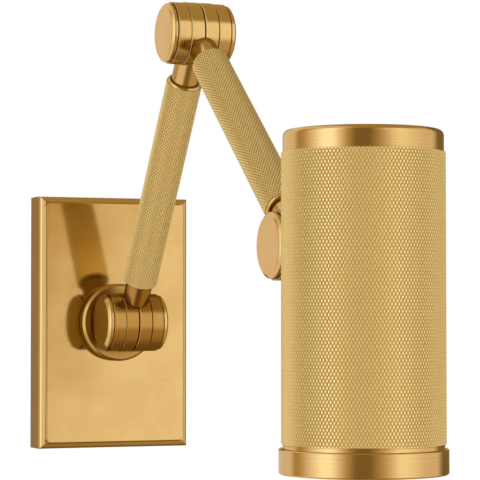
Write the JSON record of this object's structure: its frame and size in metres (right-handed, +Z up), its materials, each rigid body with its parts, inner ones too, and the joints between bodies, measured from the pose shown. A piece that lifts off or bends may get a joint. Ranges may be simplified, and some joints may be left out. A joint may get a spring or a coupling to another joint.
{
  "type": "bedside wall light",
  "caption": "Bedside wall light: a bevelled wall plate, a turning rosette, knurled arms folding on friction knuckles, and a knurled drum shade with a spot lamp.",
  "frame": {"origin": "on the wall, in the middle of the plate and of its two screw slots", "axes": "+Y into the wall, -Y out into the room, +Z up, +X to the right for someone facing the wall"},
  "size_m": [0.071, 0.3134, 0.1895],
  "materials": {
    "satin_brass": "turned and satin brushed, lightly aged",
    "knurled_brass": "diamond knurled, lightly aged",
    "zinc_steel": "zinc plated",
    "nylon": "moulded",
    "earth_green": "green passivated",
    "porcelain": "glazed",
    "lamp_white": "moulded",
    "lamp_lens": "frosted"
  },
  "bodies": {
    "wall_plate": {"backplate": "satin_brass", "mounting_strap": "zinc_steel", "plate_grub_screws": "zinc_steel", "earth_screw": "earth_green"},
    "swivel_base": {"rosette": "satin_brass", "swivel_washer": "nylon", "swivel_spring_washer": "zinc_steel", "swivel_nut": "zinc_steel", "rosette_knuckle": "satin_brass", "base_left_collar": "satin_brass", "base_left_cap": "satin_brass", "base_bolt": "zinc_steel", "base_friction_washer": "nylon", "base_spring_washer": "zinc_steel", "base_nut": "zinc_steel"},
    "lower_arm": {"lower_arm_base_knuckle": "satin_brass", "lower_arm_sleeve": "knurled_brass", "lower_arm_elbow_knuckle": "satin_brass", "base_right_collar": "satin_brass", "base_right_cap": "satin_brass", "elbow_left_collar": "satin_brass", "elbow_left_cap": "satin_brass", "elbow_bolt": "zinc_steel", "elbow_friction_washer": "nylon", "elbow_spring_washer": "zinc_steel", "elbow_nut": "zinc_steel"},
    "upper_arm": {"upper_arm_elbow_knuckle": "satin_brass", "upper_arm_sleeve": "knurled_brass", "upper_arm_head_knuckle": "satin_brass", "elbow_right_collar": "satin_brass", "elbow_right_cap": "satin_brass", "head_left_collar": "satin_brass", "head_left_cap": "satin_brass", "head_bolt": "zinc_steel", "head_friction_washer": "nylon", "head_spring_washer": "zinc_steel", "head_nut": "zinc_steel"},
    "shade_head": {"shade_knuckle": "satin_brass", "shade_saddle": "satin_brass", "shade_pad": "nylon", "shade_stem_nut": "zinc_steel", "shade_sleeve": "knurled_brass", "shade_cap": "satin_brass", "shade_bezel": "satin_brass", "holder_stem": "zinc_steel", "holder_lock_nut": "zinc_steel", "lamp_holder": "porcelain", "lamp_body": "lamp_white", "lamp_lens": "lamp_lens", "lamp_pins": "zinc_steel", "head_right_collar": "satin_brass", "head_right_cap": "satin_brass"}
  },
  "joints": [
    {"name": "base_swivel", "type": "hinge", "parent": "wall_plate", "child": "swivel_base", "pos_m": [0, -0.03735, 0], "axis": [0, 1, 0], "range_deg": [-90, 90]},
    {"name": "base_tilt", "type": "hinge", "parent": "swivel_base", "child": "lower_arm", "pos_m": [0, -0.03735, 0], "axis": [1, 0, 0], "range_deg": [-25, 53]},
    {"name": "elbow_fold", "type": "hinge", "parent": "lower_arm", "child": "upper_arm", "pos_m": [0, -0.11948, 0.1195], "axis": [1, 0, 0], "range_deg": [-94, 24]},
    {"name": "head_tilt", "type": "hinge", "parent": "upper_arm", "child": "shade_head", "pos_m": [0, -0.23232, 0.02844], "axis": [1, 0, 0], "range_deg": [-60, 60]}
  ]
}
